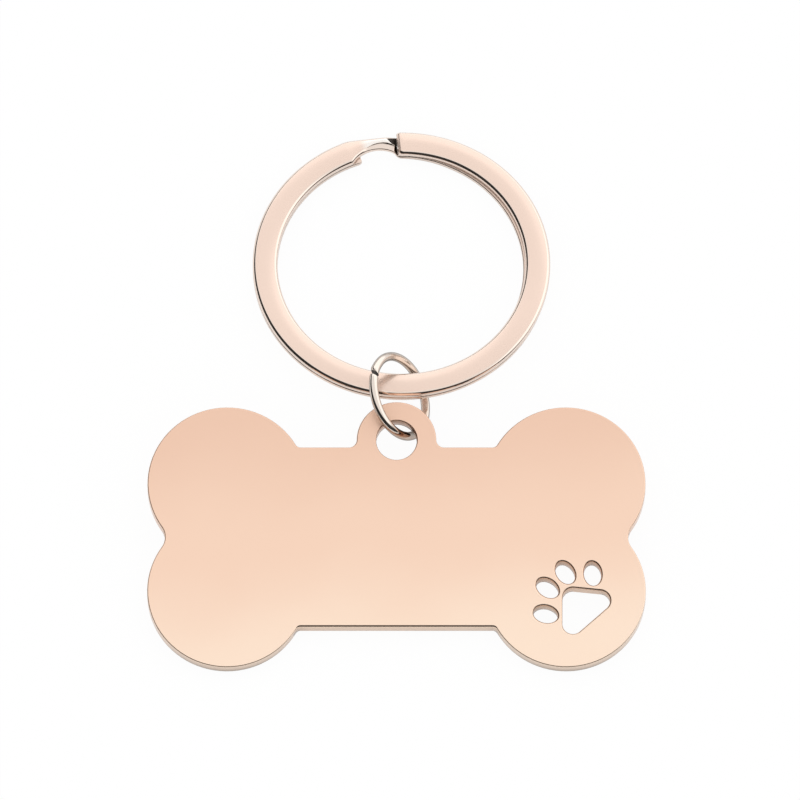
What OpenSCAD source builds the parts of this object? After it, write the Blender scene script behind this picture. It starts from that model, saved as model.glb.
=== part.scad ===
// Pet ID tag laid flat: a bone plate with a paw cut through it, a jump ring and a split ring.
// X runs along the bone, Y from the bone towards the split ring, Z is up from the table.
// The origin lies on the table, under the middle of the whole object.

/* [Bone plate] */
// Length of the bone over its lobes
tag_length = 50; // [44:0.5:60]
// Height of the bone over its lobes, without the tab
tag_height = 27.2; // [25:0.1:33]
// Thickness of the plate
tag_thickness = 1.6; // [1.2:0.1:2]
// Diameter of each of the four lobes
lobe_d = 16; // [13:0.5:18]
// Height of the straight bar between the lobes
bar_height = 18.8; // [15:0.2:22]
// Radius of the notch between the two lobes of one end
notch_fillet = 1.8; // [0.8:0.1:3]
// Radius where a lobe meets the bar
lobe_fillet = 0.6; // [0.3:0.1:1.2]

/* [Tab and hole] */
// Outer diameter of the tab
tab_d = 8; // [7:0.1:10]
// Height of the hole's centre over the bar's edge
tab_rise = 0.75; // [0.3:0.05:1.5]
// Diameter of the hole for the jump ring
hole_d = 4.1; // [3.8:0.1:5]
// Radius where the tab meets the bar
tab_fillet = 0.8; // [0.4:0.1:1.2]

/* [Paw] */
// Direction in which the paw points, from the X axis
paw_turn = 132; // [90:0.5:180]
// Distance from the lobe's centre back to the pad's centre
pad_back = 2.35; // [1.8:0.05:3]
// Radius of the pad's three rounded corners
pad_corner_r = 1.05; // [0.9:0.05:1.4]
// Half of the distance between the pad's two rear corner centres
pad_half_width = 1.8; // [1.4:0.02:2]
// Distance from the pad's centre forward to its front corner centre
pad_front = 1.33; // [1:0.01:1.5]
// Distance from the pad's centre back to its rear corner centres
pad_rear = 0.66; // [0.4:0.01:0.9]
// Length of a toe
toe_length = 2.5; // [2.2:0.1:2.8]
// Width of a toe
toe_width = 1.75; // [1.5:0.05:2]
// Distance from the pad's centre to the two outer toes
outer_toe_reach = 3.7; // [3.6:0.05:4.2]
// Direction of the outer toes from the paw's axis
outer_toe_turn = 59; // [54:0.5:64]
// Lean of the outer toes from the paw's axis
outer_toe_lean = 33.5; // [20:0.5:45]
// Distance from the pad's centre to the two inner toes
inner_toe_reach = 4; // [4:0.05:4.6]
// Direction of the inner toes from the paw's axis
inner_toe_turn = 17.5; // [15:0.5:22]
// Lean of the inner toes from the paw's axis
inner_toe_lean = 10.5; // [0:0.5:20]

/* [Jump ring] */
// Diameter of the jump ring's wire
wire_d = 0.9; // [0.7:0.05:1]
// Inner diameter of the jump ring
jump_inner_d = 7.4; // [7:0.1:9]
// Lean of the jump ring, about the Y axis, from lying flat
jump_lean = 51; // [50:1:60]
// Distance of the jump ring's centre from the bone's middle
jump_shift = 0.3; // [0:0.05:0.4]
// Width of the cut in the jump ring
cut_gap = 0.2; // [0.05:0.05:0.4]
// Place of the cut round the jump ring, from its end at the split ring
cut_turn = 70; // [0:5:355]

/* [Split ring] */
// Outer diameter of the split ring
split_od = 30; // [24:0.5:35]
// Width of the split ring's strip, seen from above
strip_width = 2.5; // [2:0.1:3]
// Thickness of the strip of one turn
strip_t = 0.72; // [0.6:0.02:0.9]
// Gap between the two turns
turn_gap = 0.06; // [0.04:0.01:0.1]
// Angle of the crossing, where the strip passes from the upper turn down to the lower one
crossing_turn = 101.8; // [80:0.2:110]
// Length along the strip in which the crossing changes level
crossing_length = 3.6; // [3:0.1:3.8]
// Distance from the middle of the crossing to the upper cut end
upper_gap = 2.55; // [2:0.05:3.5]
// Distance from the middle of the crossing to the lower cut end
lower_gap = 1.6; // [1.5:0.05:3]
// Length of the narrowed stretch at the crossing
neck_length = 4.8; // [4:0.1:6]
// Depth to which the crossing is narrowed on its inner side
neck_depth = 0.85; // [0.4:0.05:1.2]
// Depth to which the crossing is narrowed on its outer side
flat_depth = 0.25; // [0.1:0.05:0.4]

/* [Fit] */
// Play between the jump ring and the outer side of the hole
hole_play = 0.75; // [0.6:0.05:1]
// Play between the jump ring and the inner side of the split ring
split_play = 1.05; // [0.6:0.05:1.5]
// Distance of the split ring's middle from the jump ring's middle, along the bone
split_shift = 0.2; // [0:0.05:0.3]
// Gap between the split ring's lower edge and the wire that it lies on
seat_gap = 0.06; // [0.03:0.01:0.2]

/* [Hidden] */
$fn = 96;
overrun = 1;
blend = 0.004;
ramp_steps = 8;
gold = [0.93, 0.76, 0.66];
chrome = [0.80, 0.74, 0.70];
polished = [0.94, 0.82, 0.76];

lobe_r = lobe_d / 2;
lobe_x = tag_length / 2 - lobe_r;
lobe_y = tag_height / 2 - lobe_r;
bar_y = bar_height / 2;
tab_r = tab_d / 2;
hole_r = hole_d / 2;
hole_y = bar_y + tab_rise;
wire_r = wire_d / 2;
jump_r = jump_inner_d / 2 + wire_r;

// The jump ring stands on its lower side, and the plate's hole is level with its middle
jump_z = wire_r + jump_r * sin(jump_lean);
bite_y = hole_y + hole_r - wire_r - hole_play;
tag_tilt = asin((jump_z - tag_thickness / 2) / (tag_height / 2 + bite_y));
foot_y = -tag_height / 2;
jump_y = foot_y + (bite_y - foot_y) * cos(tag_tilt) - tag_thickness / 2 * sin(tag_tilt) + jump_r;

// The split ring lies on the wire with its inner edge, and on the table with its far edge
split_r = split_od / 2;
split_ir = split_r - strip_width;
split_t = 2 * strip_t + turn_gap;
level_step = strip_t + turn_gap;
near_y = jump_r - wire_r - split_play;
near_x = sqrt(pow(jump_r, 2) - pow(near_y, 2)) * cos(jump_lean);
edge_y = near_y + split_ir - sqrt(pow(split_ir, 2) - pow(near_x - split_shift, 2));
edge_turn = acos(edge_y / jump_r);
wire_at_edge = jump_z - jump_r * sin(edge_turn) * sin(jump_lean);
wire_slope = norm([cos(edge_turn) * sin(jump_lean), sin(edge_turn)]) / sin(edge_turn);
edge_z = wire_at_edge + wire_r * wire_slope + seat_gap;
split_tilt = asin(edge_z / (split_r + split_ir));
split_y = jump_y + near_y + split_ir * cos(split_tilt);

// Ends of the whole object along Y, from the bone's middle
front_y = foot_y - tag_thickness * sin(tag_tilt);
back_y = split_y + split_r * cos(split_tilt) + split_t * sin(split_tilt);
middle_y = (front_y + back_y) / 2;

// Two points at which a straight edge meets two equal corner circles of the pad
function touch_points(a, b, r) =
    let (d = (b - a) / norm(b - a), out = r * [d.y, -d.x])
    [a + out, b + out];

// A shape in the plate's full thickness, and the same shape as a tool that cuts through it
module slab() {
    linear_extrude(tag_thickness) children();
}

module cutter() {
    translate([0, 0, -overrun]) linear_extrude(tag_thickness + 2 * overrun) children();
}

// The two lobes of one end, with the notch between them and their fillets at the bar
module bone_end() {
    notch_x = lobe_x + sqrt(pow(lobe_r + notch_fillet, 2) - pow(lobe_y, 2));
    corner_y = bar_y + lobe_fillet;
    corner_x = lobe_x - sqrt(pow(lobe_r + lobe_fillet, 2) - pow(corner_y - lobe_y, 2));
    web = [
        [lobe_x, lobe_y],
        [notch_x, 0],
        [lobe_x, -lobe_y],
        [corner_x, -corner_y],
        [corner_x, corner_y]
    ];
    for (up = [-1, 1]) {
        slab() translate([lobe_x, up * lobe_y]) circle(lobe_r);
    }
    difference() {
        slab() polygon(web);
        cutter() translate([notch_x, 0]) circle(notch_fillet + blend);
        for (up = [-1, 1]) {
            cutter() translate([corner_x, up * corner_y]) circle(lobe_fillet + blend);
        }
    }
}

module tab() {
    corner_y = bar_y + tab_fillet;
    corner_x = sqrt(pow(tab_r + tab_fillet, 2) - pow(corner_y - hole_y, 2));
    root = [
        [0, hole_y],
        [corner_x, corner_y],
        [corner_x, 0],
        [-corner_x, 0],
        [-corner_x, corner_y]
    ];
    slab() translate([0, hole_y]) circle(tab_r);
    difference() {
        slab() polygon(root);
        for (side = [-1, 1]) {
            cutter() translate([side * corner_x, corner_y]) circle(tab_fillet + blend);
        }
    }
}

// Pad with three equal round corners
module pad_cut() {
    front = [0, pad_front];
    left = [-pad_half_width, -pad_rear];
    right = [pad_half_width, -pad_rear];
    edge_r = pad_corner_r - blend;
    cutter() polygon(concat(
        touch_points(front, left, edge_r),
        touch_points(left, right, edge_r),
        touch_points(right, front, edge_r)
    ));
    for (c = [front, left, right]) {
        cutter() translate(c) circle(pad_corner_r);
    }
}

module toe_cut(turn, reach, lean) {
    rotate(turn) translate([0, reach]) rotate(lean - turn)
        cutter() scale([toe_width / toe_length, 1]) circle(d = toe_length);
}

module paw_cut() {
    translate([lobe_x, -lobe_y]) rotate(paw_turn - 90) translate([0, -pad_back]) {
        pad_cut();
        for (side = [-1, 1]) {
            toe_cut(side * outer_toe_turn, outer_toe_reach, side * outer_toe_lean);
            toe_cut(side * inner_toe_turn, inner_toe_reach, side * inner_toe_lean);
        }
    }
}

// The tag leans on the table with its lower edge
module tag_place() {
    translate([0, foot_y - middle_y, 0]) rotate([tag_tilt, 0, 0]) translate([0, -foot_y, 0]) children();
}

module bone_tag() {
    color(gold) tag_place() difference() {
        union() {
            slab() square([2 * lobe_x, bar_height], center = true);
            bone_end();
            mirror([1, 0]) bone_end();
            tab();
        }
        cutter() translate([0, hole_y]) circle(hole_r);
        paw_cut();
    }
}

module jump_ring() {
    half_cut = asin(cut_gap / 2 / jump_r);
    color(chrome) translate([jump_shift, jump_y - middle_y, jump_z]) rotate([0, jump_lean, 0])
        rotate(90 + cut_turn + half_cut) rotate_extrude(angle = 360 - 2 * half_cut)
            translate([jump_r, 0]) circle(wire_r);
}

// Side view of the space over the crossing, and of the slit from there on between the turns
module open_side(end_x) {
    reach = split_r + overrun;
    ramp = [for (i = [0 : ramp_steps]) let (s = i / ramp_steps)
        [(s - 1 / 2) * crossing_length, strip_t + level_step * (1 + cos(180 * s)) / 2]];
    over_ramp = 2 * ramp[0] - ramp[1];
    polygon(concat([[over_ramp.x, split_t + overrun], over_ramp], ramp, [
        [reach, strip_t],
        [reach, level_step],
        [end_x, level_step],
        [end_x, split_t + overrun]
    ]));
}

// Carries a side view through the half of the ring that holds the crossing
module across() {
    depth = split_r + overrun;
    translate([0, depth, 0]) rotate([90, 0, 0]) linear_extrude(depth) children();
}

// The crossing is narrowed from both sides, but on its inner side the two cut ends keep their width
module neck() {
    half = neck_length / 2;
    rise = neck_depth + split_ir - sqrt(pow(split_ir, 2) - pow(half, 2));
    neck_r = (pow(half, 2) + pow(rise, 2)) / 2 / rise;
    slit_z = strip_t + turn_gap / 2;
    difference() {
        translate([0, split_ir + neck_depth - neck_r, -overrun])
            cylinder(r = neck_r, h = split_t + 2 * overrun);
        translate([turn_gap - lower_gap - split_r, 0, -2 * overrun])
            cube([split_r, split_r, slit_z + 2 * overrun]);
        translate([upper_gap - turn_gap, 0, slit_z])
            cube([split_r, split_r, split_t + 2 * overrun]);
    }
    translate([-split_r, split_r - flat_depth, -overrun])
        cube([2 * split_r, split_r, split_t + 2 * overrun]);
}

module split_ring() {
    reach = split_r + overrun;
    far_lift = split_r * sin(split_tilt);
    color(polished) translate([jump_shift + split_shift, split_y - middle_y, far_lift])
        rotate([-split_tilt, 0, 0]) rotate(crossing_turn - 90) difference() {
            rotate_extrude() translate([split_ir, 0]) square([strip_width, split_t]);
            across() open_side(upper_gap);
            translate([0, 0, split_t]) rotate([0, 180, 0]) across() open_side(lower_gap);
            translate([-reach, -reach, strip_t]) cube([2 * reach, reach + overrun, turn_gap]);
            neck();
        }
}

bone_tag();
jump_ring();
split_ring();
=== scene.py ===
"""Bone-shaped pet tag with its jump ring and split ring, laid on a white table."""

import math

import bpy
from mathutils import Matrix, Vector


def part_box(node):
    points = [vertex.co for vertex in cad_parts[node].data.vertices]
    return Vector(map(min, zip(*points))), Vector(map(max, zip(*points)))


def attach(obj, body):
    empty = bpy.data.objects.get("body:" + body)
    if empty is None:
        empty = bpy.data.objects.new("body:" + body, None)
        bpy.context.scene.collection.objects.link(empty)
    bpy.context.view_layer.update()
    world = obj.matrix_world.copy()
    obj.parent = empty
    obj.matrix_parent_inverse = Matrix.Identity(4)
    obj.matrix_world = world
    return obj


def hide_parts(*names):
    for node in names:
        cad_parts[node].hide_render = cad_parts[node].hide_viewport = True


bl_info = {
    "name": "Bone Pet Tag",
    "version": (1, 0, 0),
    "blender": (4, 5, 0),
    "location": "3D View > Sidebar > Pet Tag",
    "description": "Builds a polished bone tag, its jump ring, its split ring and the studio",
    "category": "Add Mesh",
}

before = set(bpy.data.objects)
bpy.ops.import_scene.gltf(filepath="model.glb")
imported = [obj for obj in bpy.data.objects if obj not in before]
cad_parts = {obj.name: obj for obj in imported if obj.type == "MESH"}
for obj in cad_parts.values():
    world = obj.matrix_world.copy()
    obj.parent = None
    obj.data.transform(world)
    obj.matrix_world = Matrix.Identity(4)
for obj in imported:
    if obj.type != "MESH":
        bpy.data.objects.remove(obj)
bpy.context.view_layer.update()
MM = 0.001

TAG_LOW, TAG_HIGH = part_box("bone_tag")

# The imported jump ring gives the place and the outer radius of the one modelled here
JUMP_LOW, JUMP_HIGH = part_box("jump_ring")
JUMP_CENTRE = (JUMP_LOW + JUMP_HIGH) / 2
JUMP_REACH = (JUMP_HIGH.y - JUMP_LOW.y) / 2

# Least cosine between the plate's upward direction and the normal of a flat face
FLAT_FACE = 0.9995
# Exponent of the eased edges' curve: 2 would be a quarter of a circle, 1 a plain chamfer
EASE = 1.35

# Where the plate's eased edge is which: shares of a lobe's radius and of its place across,
# and how squarely the outline faces the front where the front's own edge begins and is whole
PAW_REACH = 0.85
BAR_REACH = 0.61
FRONT_FACING = (0.6, 0.98)

# Jump ring: stretch beside the cut that is bent, and the direction across the wire in which it slants
CUT_BEND = 1.4 * MM
CUT_UP, CUT_IN = 0.8, 0.6

# Split ring: points round one corner of the section, and round all of it
CORNER_POINTS = 6
SPOTS = 4 * CORNER_POINTS
# The bar is subdivided twice along its length, which gives this many sections
CUTS = (26, 25)
SECTIONS = (CUTS[0] + 1) * (CUTS[1] + 1)
# How many of them round each cut end
END_STEPS = 4
# Crossing: half of the stretch that can be narrowed, and the lead-in of the slanted fold
NECK_REACH = math.radians(30)
FOLD_LEAD = math.radians(3)
# Share of the step down that comes gently before the fold, and how it bends
GENTLE_SHARE = 0.25
GENTLE_BEND = 1.5
# Pressed slope: steps of its curve, its radius, its first share of width, where it is wide and where it ends
PRESS_STEPS = 3
PRESS_ROUND = 0.2 * MM
PRESS_FIRST_WIDTH = 0.3
PRESS_WIDE = math.radians(5)
PRESS_END = math.radians(16)
# Cut ends: how much they taper, and how far one millimetre across turns the upper one, and over which stretch
END_TAPER = 0.7
END_SLANT = math.radians(-0.4)
END_SLANT_REACH = math.radians(20)
# Where the slip of the lower turn is whole, and half the stretch over which the painted highlight fades in
SLIP_WHOLE = math.radians(35)
PAINTED_GLINT_FADE = math.radians(1.5)

# Size and depth of the fine bumps in the metal
FACE_GRAIN = (0.05 * MM, 0.0004 * MM)
EDGE_GRAIN = (0.05 * MM, 0.0002 * MM)
WIRE_GRAIN = (0.06 * MM, 0.0003 * MM)
# Direction across the plate along which its colour changes, a painted reflection: lighter at the lower edge,
# darker at the tab
PAINTED_SHEEN_DIRECTION = (-0.12, 1.0, 0.0)
# Middle part of a noise that is spread over the whole range
NOISE_RANGE = (0.3, 0.7)
# Clouds that vary the tone, and how far they shift it along its span
CLOUD_SCALE = 70.0
CLOUD_SPREAD = 0.06
# Wipe marks that vary the polish, and how much rougher they make it
WIPE_SCALE = 400.0
WEAR = 0.05
# How far a face is turned away from the view where its painted dark rim begins and is darkest
RIM_SHADE_RANGE = (0.4, 0.75)

# Studio: gap under the pieces, softness of the opening's edge as a sine, and the camera's sensor in millimetres
TABLE_DROP = 0.02 * MM
OPENING_SOFT = 0.075
SENSOR = 36.0


def length(name, description, default, low=0.0, high=1.0):
    return bpy.props.FloatProperty(
        name=name, description=description, default=default, min=low, max=high, unit="LENGTH", precision=5
    )


def angle(name, description, degrees):
    return bpy.props.FloatProperty(
        name=name, description=description, default=math.radians(degrees), subtype="ANGLE"
    )


def share(name, description, default, high=1.0):
    return bpy.props.FloatProperty(name=name, description=description, default=default, min=0.0, max=high)


def colour(name, description, default):
    return bpy.props.FloatVectorProperty(
        name=name, description=description, default=default, size=3, min=0.0, max=1.0, subtype="COLOR"
    )


class TagPlateSettings(bpy.types.PropertyGroup):
    thickness: length("Thickness", "Thickness of the plate", 1.6 * MM)
    edge_round: length("Edge round", "Size of the outline's eased edges", 0.1 * MM)
    cut_round: length("Cut round", "Size of the paw's eased edges", 0.17 * MM)
    front_round: length("Front round", "Size of the eased edges along the bar's front", 0.21 * MM)
    border: length("Border", "Width of the flat border round the faces", 0.04 * MM)
    lobe: length("Lobe", "Radius of the bone's lobes", 8 * MM)
    edge_steps: bpy.props.IntProperty(name="Edge steps", description="Faces across a rounded edge", default=4)
    # These three colours are a painted reflection: the plating is lightened towards the bone's lower edge and
    # darkened towards the tab
    painted_sheen_low_colour: colour("Low colour", "Tone of the plating at the bone's lower edge", (0.985, 0.775, 0.615))
    painted_sheen_middle_colour: colour("Middle colour", "Tone of the plating across the bar", (0.93, 0.66, 0.505))
    painted_sheen_high_colour: colour("High colour", "Tone of the plating at the tab", (0.86, 0.575, 0.43))
    # Painted shade: the walls and eased edges are painted darker than the faces by this share
    edge_shade_share: share("Edge share", "How bright the walls and eased edges are beside the faces", 0.84)
    roughness: share("Roughness", "Softness of the faces' polish", 0.3)
    mirror: share("Mirror", "How much of the faces' look is mirror, the rest is satin", 0.45)
    tilt: angle("Tilt", "Lean of the plate from lying flat", 6.71186)


class JumpRingSettings(bpy.types.PropertyGroup):
    wire: length("Wire", "Thickness of the wire", 0.9 * MM)
    lean: angle("Lean", "Lean of the ring from lying flat", 51)
    cut_turn: angle("Cut turn", "Place of the cut, from the end at the split ring", 70)
    cut_gap: length("Cut gap", "Width of the cut", 0.4 * MM)
    cut_slant: angle("Cut slant", "Slant of the cut across the wire", 30)
    cut_slip: length("Cut slip", "How far the two ends have sprung past each other", 0.12 * MM)
    end_round: length("End round", "Radius of the wire's cut edges", 0.05 * MM)
    colour: colour("Colour", "Warm chrome of the wire", (0.80, 0.71, 0.635))
    roughness: share("Roughness", "Softness of the wire's polish", 0.06)


class SplitRingSettings(bpy.types.PropertyGroup):
    outside: length("Outside", "Outer diameter of the ring", 30 * MM)
    strip_width: length("Strip width", "Width of the strip", 2.5 * MM)
    strip_thickness: length("Strip thickness", "Thickness of the strip", 0.72 * MM)
    turn_gap: length("Turn gap", "Gap between the two turns", 0.06 * MM)
    tilt: angle("Tilt", "Lean of the ring from lying flat", 3.94419)
    crossing_turn: angle("Crossing turn", "Place of the crossing, from the X axis", 101.8)
    ramp_start: angle("Ramp start", "Where the strip begins to step down, before the crossing's middle", 7.5)
    ramp_end: angle("Ramp end", "Where the strip has stepped down, past the crossing's middle", 9.9)
    upper_end: angle("Upper end", "Place of the upper cut end, past the crossing's middle", 10.2)
    lower_end: angle("Lower end", "Place of the lower cut end, before the crossing's middle", 6.7)
    end_round: length("End round", "Size of the eased edges of both cut ends", 0.3 * MM)
    neck_length: length("Neck length", "Length of the narrowed stretch at the crossing", 4.8 * MM)
    neck_depth: length("Neck depth", "Depth of the narrowing on the inner side", 0.85 * MM)
    flat_depth: length("Flat depth", "Depth of the narrowing on the outer side", 0.42 * MM)
    fold: length("Fold", "Length of the steep last part of the step down, at the outer side", 0.95 * MM)
    fold_slant: angle("Fold slant", "How much later that part begins at the inner side", 2.2)
    flat_turn: angle("Flat turn", "Middle of the narrowing on the outer side, past the crossing's middle", 3.75)
    # Start of the painted highlight on the neck at the crossing
    painted_glint_start: angle("Worn start", "Where the worn stretch begins, past the crossing's middle", -4)
    coin_width: length("Coin width", "Widest width of the slope pressed into the neck's inner side", 0.75 * MM)
    coin_depth: length("Coin depth", "Depth of that slope", 0.22 * MM)
    crease: length("Crease", "Height of the little step along the slope's upper side", 0.06 * MM)
    slip: length("Slip", "How far the lower turn lies inside the upper one where it shows most", 0.3 * MM)
    slip_turn: angle("Slip turn", "Where the lower turn shows most, from the X axis", 30)
    outer_edge: length("Outer edge", "Size of the eased edges that face away from the other turn", 0.3 * MM)
    inner_edge: length("Inner edge", "Size of the eased edges that face the other turn", 0.1 * MM)
    colour: colour("Colour", "Pale rose gold of the strip", (0.885, 0.69, 0.585))
    edge_colour: colour("Edge colour", "Colour of its polished edges", (0.85, 0.72, 0.635))
    # Painted highlight: the neck at the crossing is painted paler, standing for a bright reflection
    painted_glint_colour: colour("Worn colour", "Paler colour of the neck at the crossing", (0.95, 0.9, 0.85))
    roughness: share("Roughness", "Softness of the faces' polish", 0.2)
    mirror: share("Mirror", "How much of the faces' look is mirror, the rest is satin", 0.6)


class StudioSettings(bpy.types.PropertyGroup):
    floor_size: length("Floor size", "Width of the floor", 3.0, high=10.0)
    floor_colour: colour("Floor colour", "Colour of the table", (1.0, 1.0, 1.0))
    white_share: share("White share", "How much of the table is plain white, the rest keeps the shadow", 0.95)
    white_in_metal: share("White in metal", "The same share of the table as the metal shows it", 0.4)
    distance: length("Camera distance", "Distance from the camera to the tag", 2.5, high=10.0)
    elevation: angle("Elevation", "Angle at which the camera looks down", 66.5)
    seen: length("Seen width", "Width of the table that the picture takes in", 80.56 * MM)
    aim_x: length("Aim across", "Picture's middle, across", 0.352 * MM, low=-1.0)
    aim_y: length("Aim along", "Picture's middle, along the table", 0.441 * MM, low=-1.0)
    daylight: share("Daylight", "Strength of the light from all round", 1.0, high=3.0)
    opening: angle("Opening", "Direction of the tent's dark opening, from the front towards the left", 40)
    opening_rise: share("Opening rise", "How much higher the opening's edge is there than on its sides", 0.6)
    opening_height: share("Opening height", "Height of the opening's edge on its sides, as a sine", 0.475)
    opening_dark: share("Opening dark", "How dark the opening is", 0.97)
    glow: share("Glow", "How much brighter the tent's other side is in the metal", 0.4)


def deselect_all():
    if bpy.context.object and bpy.context.object.mode != "OBJECT":
        bpy.ops.object.mode_set(mode="OBJECT")
    bpy.ops.object.select_all(action="DESELECT")


def make_active(piece):
    deselect_all()
    piece.select_set(True)
    bpy.context.view_layer.objects.active = piece


def copy_of_node(node, name):
    """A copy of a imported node, with its loose triangles merged into whole flat faces."""
    piece = bpy.data.objects.new(name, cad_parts[node].data.copy())
    bpy.context.scene.collection.objects.link(piece)
    make_active(piece)
    bpy.ops.object.mode_set(mode="EDIT")
    bpy.ops.mesh.select_all(action="SELECT")
    bpy.ops.mesh.customdata_custom_splitnormals_clear()
    bpy.ops.mesh.remove_doubles(threshold=0.02 * MM)
    bpy.ops.mesh.dissolve_limited(angle_limit=math.radians(0.2))
    bpy.ops.object.mode_set(mode="OBJECT")
    return piece


def ramp(value, low, high):
    """Share of the way from low to high, held between 0 and 1."""
    return max(0.0, min(1.0, (value - low) / (high - low)))


def eased(part):
    """Outward and upward share of a point on an eased edge."""
    bend = math.pi / 2 * part
    return math.sin(bend) ** (2 / EASE), max(0.0, math.cos(bend)) ** (2 / EASE)


def keep_upper_outline(piece, up):
    """Leaves only the outline of the flat upper face, and notes each point's place and way into the metal."""
    make_active(piece)
    bpy.ops.object.mode_set(mode="EDIT")
    bpy.ops.mesh.select_mode(type="FACE")
    bpy.ops.mesh.select_all(action="DESELECT")
    bpy.ops.object.mode_set(mode="OBJECT")
    for polygon in piece.data.polygons:
        polygon.select = polygon.normal.dot(up) < FLAT_FACE
    bpy.ops.object.mode_set(mode="EDIT")
    bpy.ops.mesh.delete(type="FACE")
    bpy.ops.object.mode_set(mode="OBJECT")

    points = piece.data.vertices
    sides = {}
    for polygon in piece.data.polygons:
        corners = list(polygon.vertices)
        for start, end in zip(corners, corners[1:] + corners[:1]):
            sides[start, end] = up.cross(points[end].co - points[start].co).normalized()
    met = {}
    for (start, end), side in sides.items():
        if (end, start) not in sides:
            met.setdefault(start, []).append(side)
            met.setdefault(end, []).append(side)
    place = piece.data.attributes.new("place", "FLOAT_VECTOR", "POINT")
    for i, point in enumerate(points):
        place.data[i].vector = point.co
    inward = piece.data.attributes.new("inward", "FLOAT_VECTOR", "POINT")
    for i, (first, second) in met.items():
        inward.data[i].vector = (first + second) / (1 + first.dot(second))
    bpy.ops.object.mode_set(mode="EDIT")
    bpy.ops.mesh.select_mode(type="EDGE")
    bpy.ops.mesh.select_all(action="SELECT")
    bpy.ops.mesh.region_to_loop()
    bpy.ops.mesh.select_all(action="INVERT")
    bpy.ops.mesh.delete(type="EDGE_FACE")
    bpy.ops.mesh.select_all(action="SELECT")


def edge_size(p, place, inward):
    """Size of the plate's eased edge at a point of its outline."""
    lobe_x, lobe_y = TAG_HIGH.x - p.lobe, TAG_LOW.y + p.lobe
    if math.hypot(place.x - lobe_x, place.y - lobe_y) < PAW_REACH * p.lobe:
        return p.cut_round
    if abs(place.x) > BAR_REACH * lobe_x or place.y > lobe_y:
        return p.edge_round
    return p.edge_round + (p.front_round - p.edge_round) * ramp(inward.normalized().y, *FRONT_FACING)


def press_plate(piece, up, p):
    """Makes a plate from its upper face's outline, row by row round its eased edges to its lower face."""
    keep_upper_outline(piece, up)
    curve = [eased(step / p.edge_steps) for step in range(p.edge_steps + 1)]
    upper = [(p.border, 1.0, 0.0)] + [(0.0, 1 - out, 1 - high) for out, high in curve]
    rows = [(0.0, *row) for row in upper] + [(p.thickness, *row) for row in reversed(upper)]
    for row, (face, border, in_share, down_share) in enumerate(rows):
        if row > 0:
            bpy.ops.mesh.extrude_edges_move()
        bpy.ops.object.mode_set(mode="OBJECT")
        place = piece.data.attributes["place"].data
        inward = piece.data.attributes["inward"].data
        for i, point in enumerate(piece.data.vertices):
            if point.select:
                size = edge_size(p, place[i].vector, inward[i].vector)
                inset = border + size * in_share
                depth = abs(face - size * down_share)
                point.co = place[i].vector + inset * inward[i].vector - depth * up
        bpy.ops.object.mode_set(mode="EDIT")
        if row in (0, len(rows) - 1):
            bpy.ops.mesh.fill(use_beauty=True)
            bpy.ops.mesh.region_to_loop()
    bpy.ops.mesh.select_all(action="SELECT")
    bpy.ops.mesh.normals_make_consistent(inside=False)
    bpy.ops.object.mode_set(mode="OBJECT")
    for name in ("place", "inward"):
        piece.data.attributes.remove(piece.data.attributes[name])


def apply_all(piece):
    make_active(piece)
    for name in [m.name for m in piece.modifiers]:
        bpy.ops.object.modifier_apply(modifier=name)


def round_edges(piece, radius, steps):
    bevel = piece.modifiers.new("Rounded edges", "BEVEL")
    bevel.limit_method = "ANGLE"
    bevel.angle_limit = math.radians(35)
    bevel.width = radius
    bevel.segments = steps
    bevel.miter_outer = "MITER_ARC"
    apply_all(piece)


def shade(piece):
    """Smooth shading in which the flat faces keep their own normal."""
    make_active(piece)
    bpy.ops.object.shade_smooth()
    normals = piece.modifiers.new("Flat faces lead", "WEIGHTED_NORMAL")
    normals.weight = 100
    normals.keep_sharp = False
    apply_all(piece)


def link(tree, out_node, out_name, in_node, in_name):
    tree.links.new(out_node.outputs[out_name], in_node.inputs[in_name])


def map_range(tree, source, start, end, to_start=0.0, to_end=1.0, smooth=False):
    """Socket of a value that runs from to_start to to_end while the source runs from start to end."""
    step = tree.nodes.new("ShaderNodeMapRange")
    if smooth:
        step.interpolation_type = "SMOOTHSTEP"
    step.inputs["From Min"].default_value = start
    step.inputs["From Max"].default_value = end
    step.inputs["To Min"].default_value = to_start
    step.inputs["To Max"].default_value = to_end
    tree.links.new(source, step.inputs["Value"])
    return step.outputs["Result"]


def noise(tree, place, scale, detail):
    """Socket of a noise laid on the object's own coordinates."""
    texture = tree.nodes.new("ShaderNodeTexNoise")
    texture.inputs["Scale"].default_value = scale
    texture.inputs["Detail"].default_value = detail
    link(tree, place, "Object", texture, "Vector")
    return texture.outputs["Fac"]


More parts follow.
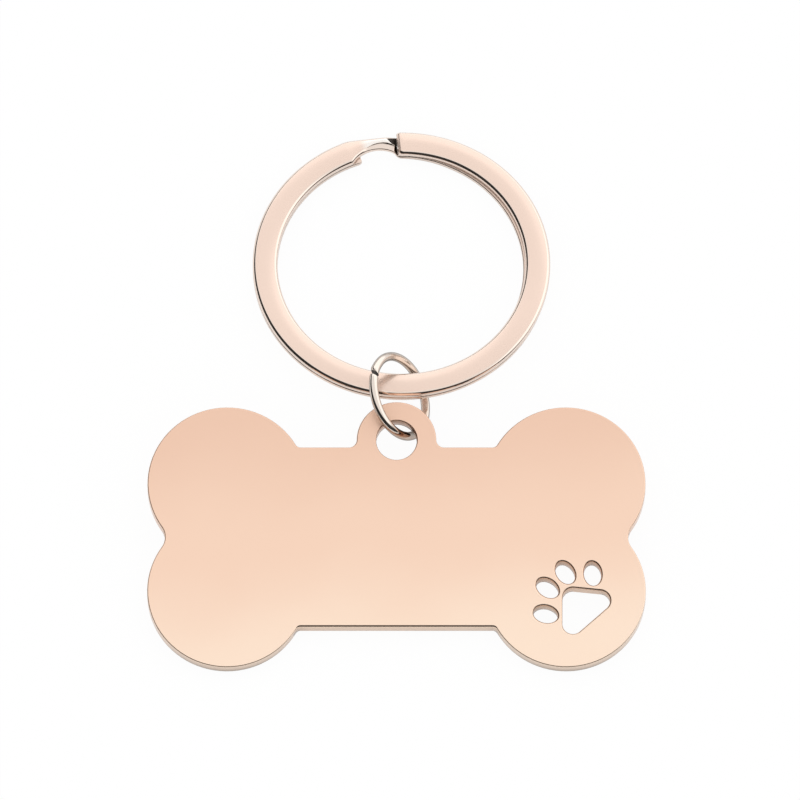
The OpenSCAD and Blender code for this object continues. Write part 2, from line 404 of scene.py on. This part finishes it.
def metal(name, tones, roughness, mirror, grain, span=None, occlusion_shade=None, rim_shade=None, painted_glint=None):
    """Plated metal, whose tone runs from the first colour to the last along span, or varies a little by itself.

    grain is the size and depth of its fine bumps, occlusion_shade the distance within which near metal darkens
    it (painted shade), rim_shade its share of brightness where it turns away from the view (painted dark rim),
    and painted_glint its colour where the attribute of that name is 1 (painted highlight).
    """
    material = bpy.data.materials.new(name)
    material.use_nodes = True
    tree = material.node_tree
    surface = tree.nodes["Principled BSDF"]
    surface.inputs["Metallic"].default_value = mirror
    place = tree.nodes.new("ShaderNodeTexCoord")

    spread = (0.0, 1.0) if span is None else (-CLOUD_SPREAD, CLOUD_SPREAD)
    amount = map_range(tree, noise(tree, place, CLOUD_SCALE, 2.0), *NOISE_RANGE, *spread)
    if span:
        low, high, direction = span
        along = tree.nodes.new("ShaderNodeVectorMath")
        along.operation = "DOT_PRODUCT"
        along.inputs[1].default_value = direction
        link(tree, place, "Object", along, 0)
        total = tree.nodes.new("ShaderNodeMath")
        total.operation = "ADD"
        tree.links.new(map_range(tree, along.outputs["Value"], low, high), total.inputs[0])
        tree.links.new(amount, total.inputs[1])
        amount = total.outputs["Value"]
    blend = tree.nodes.new("ShaderNodeValToRGB")
    blend.color_ramp.interpolation = "EASE"
    stops = blend.color_ramp.elements
    while len(stops) < len(tones):
        stops.new(0.5)
    for step, (stop, tone) in enumerate(zip(stops, tones)):
        stop.position = step / (len(tones) - 1)
        stop.color = (*tone, 1.0)
    tree.links.new(amount, blend.inputs["Fac"])
    tone = blend.outputs["Color"]
    # Painted highlight: the colour is lifted towards the pale colour where the attribute is 1
    if painted_glint:
        where = tree.nodes.new("ShaderNodeAttribute")
        where.attribute_name = "painted_glint"
        paler = tree.nodes.new("ShaderNodeMixRGB")
        paler.inputs["Color2"].default_value = (*painted_glint, 1.0)
        link(tree, where, "Fac", paler, "Fac")
        tree.links.new(tone, paler.inputs["Color1"])
        tone = paler.outputs["Color"]
    # Painted shade: the colour is darkened where other metal is near, in gaps and under parts
    if occlusion_shade:
        occlusion_darkening = tree.nodes.new("ShaderNodeAmbientOcclusion")
        occlusion_darkening.samples = 8
        occlusion_darkening.inputs["Distance"].default_value = occlusion_shade
        tree.links.new(tone, occlusion_darkening.inputs["Color"])
        tone = occlusion_darkening.outputs["Color"]
    # Painted shade: the colour darkens where the surface turns away from the view, a painted dark outline
    if rim_shade:
        facing = tree.nodes.new("ShaderNodeLayerWeight")
        dim = tree.nodes.new("ShaderNodeVectorMath")
        dim.operation = "SCALE"
        tree.links.new(tone, dim.inputs[0])
        tree.links.new(map_range(tree, facing.outputs["Facing"], *RIM_SHADE_RANGE, 1.0, rim_shade), dim.inputs["Scale"])
        tone = dim.outputs["Vector"]
    tree.links.new(tone, surface.inputs["Base Color"])

    wipe = noise(tree, place, WIPE_SCALE, 3.0)
    polish = map_range(tree, wipe, *NOISE_RANGE, roughness, roughness + WEAR)
    tree.links.new(polish, surface.inputs["Roughness"])

    grain_size, grain_depth = grain
    bump = tree.nodes.new("ShaderNodeBump")
    bump.inputs["Distance"].default_value = grain_depth
    bump.inputs["Strength"].default_value = 0.5
    tree.links.new(noise(tree, place, 1.0 / grain_size, 2.0), bump.inputs["Height"])
    link(tree, bump, "Normal", surface, "Normal")
    return material


def darker(tint, part):
    return tuple(c * part for c in tint)


def two_finishes(piece, faces, edges, up):
    """Satin on the two flat sides, whose normal is up or down, and a mirror polish on all the rest."""
    piece.data.materials.clear()
    piece.data.materials.append(faces)
    piece.data.materials.append(edges)
    for polygon in piece.data.polygons:
        polygon.material_index = 0 if abs(polygon.normal.dot(up)) > FLAT_FACE else 1


def finish_piece(piece, body, node):
    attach(piece, body)
    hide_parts(node)


class OBJECT_OT_tag_plate(bpy.types.Operator):
    """Bone plate with its tab and the cut paw, its edges rounded by polishing"""

    bl_idname = "object.tag_plate"
    bl_label = "Bone Plate"
    bl_options = {"REGISTER", "UNDO"}

    def execute(self, context):
        p = context.scene.tag_plate
        up = Vector((0.0, -math.sin(p.tilt), math.cos(p.tilt)))
        piece = copy_of_node("bone_tag", "bone_plate")
        press_plate(piece, up, p)
        shade(piece)
        # Painted reflection: the plate's colour runs from light at its lower edge to darker at the tab
        tones = (p.painted_sheen_low_colour, p.painted_sheen_middle_colour, p.painted_sheen_high_colour)
        span = (TAG_LOW.y, TAG_HIGH.y, PAINTED_SHEEN_DIRECTION)
        faces = metal("Rose gold faces", tones, p.roughness, p.mirror, FACE_GRAIN, span)
        # Painted shade: the walls and eased edges take a darker copy of the face colours
        tones = [darker(tone, p.edge_shade_share) for tone in tones]
        edges = metal("Rose gold edges", tones, 0.1, 1.0, EDGE_GRAIN, span, occlusion_shade=1.2 * MM)
        two_finishes(piece, faces, edges, up)
        finish_piece(piece, "tag", "bone_tag")
        return {"FINISHED"}


def wire_point(p, radius, place):
    """Where a point of the evenly cut ring goes: beside the cut, the ends slant and have sprung apart."""
    turn = math.atan2(place.y, place.x) - math.pi / 2 - p.cut_turn
    turn = (turn + math.pi) % (2 * math.pi) - math.pi
    near = max(0.0, 1 - abs(turn) * radius / CUT_BEND)
    reach = math.hypot(place.x, place.y)
    across = CUT_UP * place.z - CUT_IN * (reach - radius)
    swing = math.atan2(place.y, place.x) + near * math.tan(p.cut_slant) * across / radius
    reach += math.copysign(near**2 * p.cut_slip / 2, -turn)
    return Vector((reach * math.cos(swing), reach * math.sin(swing), place.z))


class OBJECT_OT_tag_jump_ring(bpy.types.Operator):
    """Ring of round wire, spun round from its cross-section and cut through"""

    bl_idname = "object.tag_jump_ring"
    bl_label = "Jump Ring"
    bl_options = {"REGISTER", "UNDO"}

    def execute(self, context):
        p = context.scene.tag_jump_ring
        wire_radius = p.wire / 2
        radius = JUMP_REACH - wire_radius
        half_cut = math.asin(p.cut_gap / 2 / radius)
        start = math.pi / 2 + p.cut_turn + half_cut
        deselect_all()
        bpy.ops.mesh.primitive_circle_add(
            vertices=32,
            radius=wire_radius,
            fill_type="NGON",
            location=(radius * math.cos(start), radius * math.sin(start), 0.0),
            rotation=(math.pi / 2, 0.0, start),
        )
        piece = context.object
        piece.name = "jump_wire"
        bpy.ops.object.transform_apply(location=True, rotation=True, scale=True)
        bpy.ops.object.mode_set(mode="EDIT")
        bpy.ops.mesh.select_all(action="SELECT")
        bpy.ops.mesh.spin(
            steps=128,
            angle=2 * math.pi - 2 * half_cut,
            center=(0.0, 0.0, 0.0),
            axis=(0.0, 0.0, 1.0),
        )
        bpy.ops.mesh.select_all(action="SELECT")
        bpy.ops.mesh.normals_make_consistent(inside=False)
        bpy.ops.object.mode_set(mode="OBJECT")
        for point in piece.data.vertices:
            point.co = wire_point(p, radius, point.co)
        piece.rotation_euler = (0.0, p.lean, 0.0)
        piece.location = JUMP_CENTRE
        bpy.ops.object.transform_apply(location=True, rotation=True, scale=True)
        round_edges(piece, p.end_round, 3)
        shade(piece)
        tones = (darker(p.colour, 0.96), p.colour)
        # Near-black painted shade for the cut faces, standing for the shade in the gap between the ends
        painted_shade_tones = (darker(p.colour, 0.08), darker(p.colour, 0.12))
        polished = metal("Polished wire", tones, p.roughness, 1.0, WIRE_GRAIN, occlusion_shade=0.7 * MM, rim_shade=0.3)
        piece.data.materials.append(polished)
        piece.data.materials.append(metal("Painted shade cut", painted_shade_tones, 0.5, 0.6, WIRE_GRAIN))
        # Only the two cut faces have more than four corners; they take the near-black painted shade of the gap
        for polygon in piece.data.polygons:
            polygon.material_index = int(len(polygon.vertices) > 4)
        finish_piece(piece, "jump_ring", "jump_ring")
        return {"FINISHED"}


def spot_of(place):
    """Place round its section of a point of the straight bar."""
    return round(math.atan2(place.z, place.y) / (2 * math.pi) * SPOTS) % SPOTS


def fold_start(p):
    """Angle past the crossing's middle at which the steep part of the step down begins, at the outer side."""
    return p.ramp_end - p.fold / (p.outside / 2)


def strip_edge(p, turn):
    """Inner and outer radius of the strip at an angle from the crossing's middle, with the narrowed neck."""
    outer = p.outside / 2
    inner = outer - p.strip_width
    if abs(turn) > NECK_REACH:
        return inner, outer
    half = p.neck_length / 2
    rise = p.neck_depth + inner - math.sqrt(inner**2 - half**2)
    bow = (half**2 + rise**2) / 2 / rise
    middle = inner + p.neck_depth - bow
    under = bow**2 - (middle * math.sin(turn)) ** 2
    if under > 0:
        inner = max(inner, middle * math.cos(turn) + math.sqrt(under))
    return inner, min(outer, (outer - p.flat_depth) / math.cos(turn - p.flat_turn))


def section_place(p, part):
    """Angle along the strip of a cross-section, and how much it is drawn in for the rounded cut ends."""
    reach = (p.outside - p.strip_width) / 2
    start = p.upper_end
    end = 4 * math.pi - p.lower_end
    step = round(part * SECTIONS)
    near = min(step, SECTIONS - step)
    if near < END_STEPS:
        out, high = eased(near / END_STEPS)
        along = p.end_round * (1 - high) / reach
        turn = start + along if step == near else end - along
        return turn, p.end_round * (1 - out)
    ease = p.end_round / reach
    even = (step - END_STEPS) / (SECTIONS - 2 * END_STEPS)
    return start + ease + even * (end - start - 2 * ease), 0.0


def past_crossing(p, part):
    """Angle past the crossing's middle of a place along the strip."""
    return section_place(p, part)[0] - 2 * math.pi


def strip_point(p, part, spot):
    """Where a point of the straight bar goes, from its place along the strip and round the section."""
    turn, drawn_in = section_place(p, part)
    past = turn - 2 * math.pi
    fold = fold_start(p)
    if spot >= 2 * CORNER_POINTS:
        turn += p.fold_slant * ramp(past, fold - FOLD_LEAD, fold) * (1 - ramp(past, fold, p.ramp_end))
        past = turn - 2 * math.pi
        fold += p.fold_slant
    gentle = GENTLE_SHARE * ramp(past, -p.ramp_start, fold) ** GENTLE_BEND
    lowered = gentle + (1 - GENTLE_SHARE) * ramp(past, fold, p.ramp_end)
    inner, outer = strip_edge(p, past)
    base = (1 - lowered) * (p.strip_thickness + p.turn_gap)

    corner, step = divmod(spot, CORNER_POINTS)
    rising, falling = eased(step / (CORNER_POINTS - 1))
    top = p.outer_edge + lowered * (p.inner_edge - p.outer_edge)
    bottom = p.inner_edge + lowered * (p.outer_edge - p.inner_edge)
    size = top if corner in (0, 3) else bottom
    out_by, up_by = ((rising, falling), (falling, rising), (rising, falling), (falling, rising))[corner]
    aside = size * (1 - out_by)
    down = size * (1 - up_by)
    if corner == 3:
        pressed = ramp(past, -p.lower_end, 0.0) * ramp(past, PRESS_END, p.upper_end)
        widened = ramp(past, -p.lower_end, PRESS_WIDE)
        width = p.coin_width * (PRESS_FIRST_WIDTH + (1 - PRESS_FIRST_WIDTH) * widened)
        if step <= PRESS_STEPS:
            bend = math.pi / 2 * step / PRESS_STEPS
            slope = (PRESS_ROUND * (1 - math.cos(bend)), p.coin_depth + PRESS_ROUND * (1 - math.sin(bend)))
        elif step == CORNER_POINTS - 1:
            slope = (width, 0.0)
        else:
            slope = (width - p.crease / 2, p.crease)
        aside += pressed * (slope[0] - aside)
        down += pressed * (slope[1] - down)
    reach = outer - aside if corner < 2 else inner + aside
    height = p.strip_thickness - down if corner in (0, 3) else down

    middle = (inner + outer) / 2
    reach = middle + (reach - middle) * (1 - END_TAPER * drawn_in / (outer - inner))
    if past > 0:
        height += (p.strip_thickness - height) * drawn_in / p.strip_thickness
    else:
        height *= 1 - drawn_in / p.strip_thickness
    slant = END_SLANT * (reach - middle) / MM
    turn += slant * (1 - ramp(turn - p.upper_end, 0.0, END_SLANT_REACH))
    direction = p.crossing_turn - turn
    loose = max(0.0, math.cos(direction - p.slip_turn)) ** 2
    reach -= p.slip * loose * ramp(past, p.ramp_end, SLIP_WHOLE)
    return Vector((reach * math.cos(direction), reach * math.sin(direction), base + height))


class OBJECT_OT_tag_split_ring(bpy.types.Operator):
    """Flat strip bent round in two turns, with its narrowed crossing and both cut ends"""

    bl_idname = "object.tag_split_ring"
    bl_label = "Split Ring"
    bl_options = {"REGISTER", "UNDO"}

    def execute(self, context):
        p = context.scene.tag_split_ring
        deselect_all()
        bpy.ops.mesh.primitive_cylinder_add(
            vertices=SPOTS, radius=MM, depth=1.0, location=(0.0, 0.0, 0.0), rotation=(0.0, math.pi / 2, 0.0)
        )
        piece = context.object
        piece.name = "split_strip"
        bpy.ops.object.transform_apply(location=True, rotation=True, scale=True)
        for cuts in CUTS:
            bpy.ops.object.mode_set(mode="EDIT")
            bpy.ops.mesh.select_mode(type="EDGE")
            bpy.ops.mesh.select_all(action="DESELECT")
            bpy.ops.object.mode_set(mode="OBJECT")
            points = piece.data.vertices
            for edge in piece.data.edges:
                start, end = edge.vertices
                edge.select = abs(points[start].co.x - points[end].co.x) > MM / 2
            bpy.ops.object.mode_set(mode="EDIT")
            bpy.ops.mesh.subdivide(number_cuts=cuts)
        bpy.ops.object.mode_set(mode="OBJECT")
        points = piece.data.vertices
        tones = (darker(p.colour, 0.97), p.colour)
        pale = (darker(p.edge_colour, 0.97), p.edge_colour)
        painted_shade_tones = (darker(p.colour, 0.03), darker(p.colour, 0.06))
        faces = metal("Strip faces", tones, p.roughness, p.mirror, FACE_GRAIN, painted_glint=tuple(p.painted_glint_colour))
        piece.data.materials.append(faces)
        piece.data.materials.append(metal("Strip edges", pale, 0.08, 1.0, EDGE_GRAIN, occlusion_shade=1.0 * MM))
        # Near-black painted shadow for the steep fold of the step down
        piece.data.materials.append(metal("Painted shadow step", painted_shade_tones, 0.4, 0.6, FACE_GRAIN))
        spots = [spot_of(point.co) for point in points]
        fold = fold_start(p)
        for polygon in piece.data.polygons:
            past = past_crossing(p, polygon.center.x + 0.5)
            around = {spots[i] for i in polygon.vertices}
            if around == {0, SPOTS - 1}:
                # The steep fold's top faces get the painted shadow of the step
                polygon.material_index = 2 if fold < past < p.ramp_end else 0
            else:
                polygon.material_index = int(around != {2 * CORNER_POINTS - 1, 2 * CORNER_POINTS})
        # Painted highlight along the neck up to the end of the step down
        painted_glint = piece.data.attributes.new("painted_glint", "FLOAT", "POINT")
        for point, spot in zip(piece.data.vertices, spots):
            past = past_crossing(p, point.co.x + 0.5)
            if past < p.ramp_end:
                amount = ramp(past, p.painted_glint_start - PAINTED_GLINT_FADE, p.painted_glint_start + PAINTED_GLINT_FADE)
                painted_glint.data[point.index].value = amount
            point.co = strip_point(p, point.co.x + 0.5, spot)
        bpy.ops.object.mode_set(mode="EDIT")
        bpy.ops.mesh.select_all(action="SELECT")
        bpy.ops.mesh.normals_make_consistent(inside=False)
        bpy.ops.object.mode_set(mode="OBJECT")

        low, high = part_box("split_ring")
        thickness = 2 * p.strip_thickness + p.turn_gap
        back = high.y - p.outside / 2 * math.cos(p.tilt) - thickness * math.sin(p.tilt)
        piece.rotation_euler = (-p.tilt, 0.0, 0.0)
        piece.location = ((low.x + high.x) / 2, back, p.outside / 2 * math.sin(p.tilt))
        bpy.ops.object.transform_apply(location=True, rotation=True, scale=True)
        shade(piece)
        finish_piece(piece, "split_ring", "split_ring")
        return {"FINISHED"}


def floor_material(tint, white_share, white_in_metal):
    """White paper that keeps a faint shadow: most of what is seen of it is plain white."""
    material = bpy.data.materials.new("White table")
    material.use_nodes = True
    tree = material.node_tree
    paper = tree.nodes["Principled BSDF"]
    paper.inputs["Base Color"].default_value = (*tint, 1.0)
    paper.inputs["Roughness"].default_value = 0.9
    paper.inputs["Specular IOR Level"].default_value = 0.0
    white = tree.nodes.new("ShaderNodeEmission")
    ray = tree.nodes.new("ShaderNodeLightPath")
    amount = None
    for kind, part in (("Is Camera Ray", white_share), ("Is Glossy Ray", white_in_metal)):
        step = tree.nodes.new("ShaderNodeMath")
        step.operation = "MULTIPLY_ADD"
        link(tree, ray, kind, step, 0)
        step.inputs[1].default_value = part
        step.inputs[2].default_value = 0.0
        if amount:
            link(tree, amount, "Value", step, 2)
        amount = step
    blend = tree.nodes.new("ShaderNodeMixShader")
    link(tree, amount, "Value", blend, "Fac")
    link(tree, paper, "BSDF", blend, 1)
    link(tree, white, "Emission", blend, 2)
    link(tree, blend, "Shader", tree.nodes["Material Output"], "Surface")
    return material


def product(tree, a, b):
    """Socket of a times b, where b is a socket or a number."""
    times = tree.nodes.new("ShaderNodeMath")
    times.operation = "MULTIPLY"
    tree.links.new(a, times.inputs[0])
    if isinstance(b, float):
        times.inputs[1].default_value = b
    else:
        tree.links.new(b, times.inputs[1])
    return times.outputs["Value"]


def lean_over(tree, place, lean, height):
    """How far a direction lies under a slanting edge that is highest where the lean points."""
    under = tree.nodes.new("ShaderNodeVectorMath")
    under.operation = "DOT_PRODUCT"
    under.inputs[1].default_value = (lean.x, lean.y, -1.0)
    link(tree, place, "Generated", under, 0)
    return map_range(tree, under.outputs["Value"], -height - OPENING_SOFT, -height + OPENING_SOFT, smooth=True)


def white_tent(scene, p):
    """A white tent all round.

    Metal also shows its dark opening, low at the front left, and its bright far side.
    """
    world = bpy.data.worlds.new("White tent")
    world.use_nodes = True
    scene.world = world
    tree = world.node_tree
    place = tree.nodes.new("ShaderNodeTexCoord")
    ray = tree.nodes.new("ShaderNodeLightPath")
    gloss = ray.outputs["Is Glossy Ray"]
    lean = p.opening_rise * Vector((-math.sin(p.opening), -math.cos(p.opening)))
    dark = product(tree, lean_over(tree, place, lean, p.opening_height), p.opening_dark)
    bright = product(tree, lean_over(tree, place, -lean, p.opening_height), p.glow)

    lit = tree.nodes.new("ShaderNodeMath")
    lit.operation = "MULTIPLY_ADD"
    tree.links.new(bright, lit.inputs[0])
    tree.links.new(gloss, lit.inputs[1])
    lit.inputs[2].default_value = p.daylight
    rest = tree.nodes.new("ShaderNodeMath")
    rest.operation = "SUBTRACT"
    rest.inputs[0].default_value = 1.0
    tree.links.new(product(tree, dark, gloss), rest.inputs[1])
    background = tree.nodes["Background"]
    background.inputs["Color"].default_value = (1.0, 1.0, 1.0, 1.0)
    tree.links.new(product(tree, lit.outputs["Value"], rest.outputs["Value"]), background.inputs["Strength"])


class OBJECT_OT_tag_studio(bpy.types.Operator):
    """White table, soft light from all round, and the camera"""

    bl_idname = "object.tag_studio"
    bl_label = "Studio"
    bl_options = {"REGISTER", "UNDO"}

    def execute(self, context):
        p = context.scene.tag_studio
        deselect_all()
        bpy.ops.mesh.primitive_plane_add(size=p.floor_size, location=(0.0, 0.0, -TABLE_DROP))
        floor = context.object
        floor.name = "table"
        bpy.ops.object.transform_apply(location=True, rotation=True, scale=True)
        floor.data.materials.append(floor_material(p.floor_colour, p.white_share, p.white_in_metal))
        white_tent(context.scene, p)

        back = Vector((0.0, -math.cos(p.elevation), math.sin(p.elevation)))
        aim = Vector((p.aim_x, p.aim_y, 0.0))
        bpy.ops.object.camera_add(location=aim + back * p.distance)
        camera = context.object
        camera.rotation_euler = (math.pi / 2 - p.elevation, 0.0, 0.0)
        camera.data.sensor_width = SENSOR
        camera.data.lens = SENSOR * p.distance / p.seen
        camera.data.clip_end = 2 * p.distance
        context.scene.camera = camera
        context.scene.view_settings.view_transform = "Standard"
        return {"FINISHED"}


class VIEW3D_PT_pet_tag(bpy.types.Panel):
    """Buttons for the pieces and the studio, with their settings"""

    bl_label = "Pet Tag"
    bl_idname = "VIEW3D_PT_pet_tag"
    bl_space_type = "VIEW_3D"
    bl_region_type = "UI"
    bl_category = "Pet Tag"

    def draw(self, context):
        for operator, settings in PARTS:
            box = self.layout.box()
            box.operator(operator.bl_idname)
            group = getattr(context.scene, settings)
            for name in group.__annotations__:
                box.prop(group, name)


PARTS = (
    (OBJECT_OT_tag_plate, "tag_plate"),
    (OBJECT_OT_tag_jump_ring, "tag_jump_ring"),
    (OBJECT_OT_tag_split_ring, "tag_split_ring"),
    (OBJECT_OT_tag_studio, "tag_studio"),
)
SETTINGS = {
    "tag_plate": TagPlateSettings,
    "tag_jump_ring": JumpRingSettings,
    "tag_split_ring": SplitRingSettings,
    "tag_studio": StudioSettings,
}


def register():
    for name, group in SETTINGS.items():
        bpy.utils.register_class(group)
        setattr(bpy.types.Scene, name, bpy.props.PointerProperty(type=group))
    for operator, _ in PARTS:
        bpy.utils.register_class(operator)
    bpy.utils.register_class(VIEW3D_PT_pet_tag)


def unregister():
    bpy.utils.unregister_class(VIEW3D_PT_pet_tag)
    for operator, _ in reversed(PARTS):
        bpy.utils.unregister_class(operator)
    for name, group in reversed(SETTINGS.items()):
        delattr(bpy.types.Scene, name)
        bpy.utils.unregister_class(group)


def main():
    register()
    bpy.ops.object.tag_plate()
    bpy.ops.object.tag_jump_ring()
    bpy.ops.object.tag_split_ring()
    bpy.ops.object.tag_studio()


if __name__ == "__main__":
    main()
